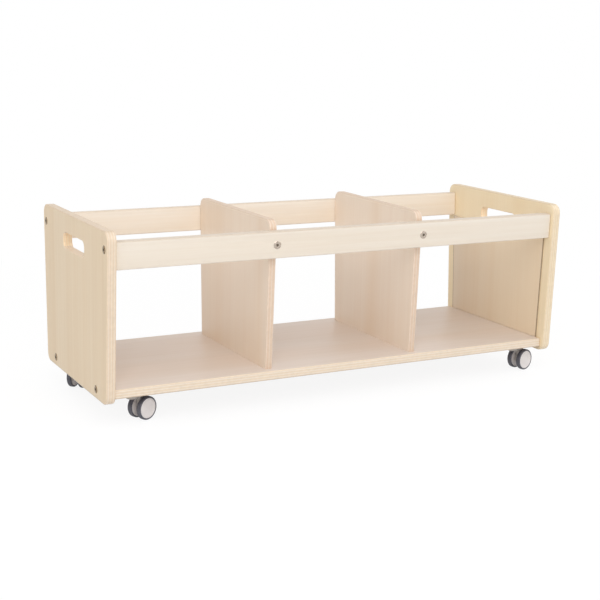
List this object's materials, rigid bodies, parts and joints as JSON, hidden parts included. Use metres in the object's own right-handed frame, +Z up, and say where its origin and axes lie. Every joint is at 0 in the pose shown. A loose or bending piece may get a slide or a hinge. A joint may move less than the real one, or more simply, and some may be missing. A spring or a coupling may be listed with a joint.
{
  "type": "mobile storage shelf",
  "caption": "Low open plywood trolley with tapered slotted end panels, upright dividers, front and rear rails and twin-wheel swivel casters, for books or toys.",
  "frame": {"origin": "on the floor, under the middle of the bounding box", "axes": "+X along the shelf's length, -Y out of its front, +Z up"},
  "size_m": [1.0018, 0.3884, 0.368],
  "materials": {
    "birch_ply": "clear satin lacquer",
    "rail_birch": "clear satin lacquer",
    "liner_board": "clear satin lacquer",
    "beech": "raw",
    "bolt_steel": "nickel plated",
    "plated_steel": "zinc plated",
    "housing_nylon": "moulded satin",
    "hub_nylon": "moulded satin",
    "tyre_rubber": "matt"
  },
  "bodies": {
    "carcass": {"bottom_panel": "birch_ply", "left_end_panel": "birch_ply", "right_end_panel": "birch_ply", "left_end_liner": "liner_board", "right_end_liner": "liner_board", "left_divider": "birch_ply", "right_divider": "birch_ply", "front_rail": "rail_birch", "rear_rail": "rail_birch", "front_left_upper_bolt": "bolt_steel", "front_left_lower_bolt": "bolt_steel", "front_left_divider_bolt": "bolt_steel", "front_left_dowel": "beech", "front_right_upper_bolt": "bolt_steel", "front_right_lower_bolt": "bolt_steel", "front_right_divider_bolt": "bolt_steel", "front_right_dowel": "beech", "rear_left_upper_bolt": "bolt_steel", "rear_left_lower_bolt": "bolt_steel", "rear_left_divider_bolt": "bolt_steel", "rear_left_dowel": "beech", "rear_right_upper_bolt": "bolt_steel", "rear_right_lower_bolt": "bolt_steel", "rear_right_divider_bolt": "bolt_steel", "rear_right_dowel": "beech", "front_left_caster_insert": "plated_steel", "front_left_caster_stem": "plated_steel", "front_right_caster_insert": "plated_steel", "front_right_caster_stem": "plated_steel", "rear_left_caster_insert": "plated_steel", "rear_left_caster_stem": "plated_steel", "rear_right_caster_insert": "plated_steel", "rear_right_caster_stem": "plated_steel"},
    "front_left_fork": {"front_left_caster_housing": "housing_nylon", "front_left_caster_axle": "plated_steel"},
    "front_left_left_wheel": {"front_left_caster_left_hub": "hub_nylon", "front_left_caster_left_tyre": "tyre_rubber"},
    "front_left_right_wheel": {"front_left_caster_right_hub": "hub_nylon", "front_left_caster_right_tyre": "tyre_rubber"},
    "front_right_fork": {"front_right_caster_housing": "housing_nylon", "front_right_caster_axle": "plated_steel"},
    "front_right_left_wheel": {"front_right_caster_left_hub": "hub_nylon", "front_right_caster_left_tyre": "tyre_rubber"},
    "front_right_right_wheel": {"front_right_caster_right_hub": "hub_nylon", "front_right_caster_right_tyre": "tyre_rubber"},
    "rear_left_fork": {"rear_left_caster_housing": "housing_nylon", "rear_left_caster_axle": "plated_steel"},
    "rear_left_left_wheel": {"rear_left_caster_left_hub": "hub_nylon", "rear_left_caster_left_tyre": "tyre_rubber"},
    "rear_left_right_wheel": {"rear_left_caster_right_hub": "hub_nylon", "rear_left_caster_right_tyre": "tyre_rubber"},
    "rear_right_fork": {"rear_right_caster_housing": "housing_nylon", "rear_right_caster_axle": "plated_steel"},
    "rear_right_left_wheel": {"rear_right_caster_left_hub": "hub_nylon", "rear_right_caster_left_tyre": "tyre_rubber"},
    "rear_right_right_wheel": {"rear_right_caster_right_hub": "hub_nylon", "rear_right_caster_right_tyre": "tyre_rubber"}
  },
  "joints": [
    {"name": "front_left_swivel", "type": "hinge", "parent": "carcass", "child": "front_left_fork", "pos_m": [-0.436, -0.137, 0.0534], "axis": [0, 0, 1], "continuous": true},
    {"name": "front_left_left_wheel_spin", "type": "hinge", "parent": "front_left_fork", "child": "front_left_left_wheel", "pos_m": [-0.41133, -0.12602, 0.0225], "axis": [-0.4067, 0.9135, 0], "continuous": true},
    {"name": "front_left_right_wheel_spin", "type": "hinge", "parent": "front_left_fork", "child": "front_left_right_wheel", "pos_m": [-0.41133, -0.12602, 0.0225], "axis": [-0.4067, 0.9135, 0], "continuous": true},
    {"name": "front_right_swivel", "type": "hinge", "parent": "carcass", "child": "front_right_fork", "pos_m": [0.436, -0.137, 0.0534], "axis": [0, 0, 1], "continuous": true},
    {"name": "front_right_left_wheel_spin", "type": "hinge", "parent": "front_right_fork", "child": "front_right_left_wheel", "pos_m": [0.46208, -0.13001, 0.0225], "axis": [-0.2588, 0.9659, 0], "continuous": true},
    {"name": "front_right_right_wheel_spin", "type": "hinge", "parent": "front_right_fork", "child": "front_right_right_wheel", "pos_m": [0.46208, -0.13001, 0.0225], "axis": [-0.2588, 0.9659, 0], "continuous": true},
    {"name": "rear_left_swivel", "type": "hinge", "parent": "carcass", "child": "rear_left_fork", "pos_m": [-0.436, 0.137, 0.0534], "axis": [0, 0, 1], "continuous": true},
    {"name": "rear_left_left_wheel_spin", "type": "hinge", "parent": "rear_left_fork", "child": "rear_left_left_wheel", "pos_m": [-0.45509, 0.11791, 0.0225], "axis": [0.7071, -0.7071, 0], "continuous": true},
    {"name": "rear_left_right_wheel_spin", "type": "hinge", "parent": "rear_left_fork", "child": "rear_left_right_wheel", "pos_m": [-0.45509, 0.11791, 0.0225], "axis": [0.7071, -0.7071, 0], "continuous": true},
    {"name": "rear_right_swivel", "type": "hinge", "parent": "carcass", "child": "rear_right_fork", "pos_m": [0.436, 0.137, 0.0534], "axis": [0, 0, 1], "continuous": true},
    {"name": "rear_right_left_wheel_spin", "type": "hinge", "parent": "rear_right_fork", "child": "rear_right_left_wheel", "pos_m": [0.46103, 0.14711, 0.0225], "axis": [-0.3746, 0.9272, 0], "continuous": true},
    {"name": "rear_right_right_wheel_spin", "type": "hinge", "parent": "rear_right_fork", "child": "rear_right_right_wheel", "pos_m": [0.46103, 0.14711, 0.0225], "axis": [-0.3746, 0.9272, 0], "continuous": true}
  ]
}
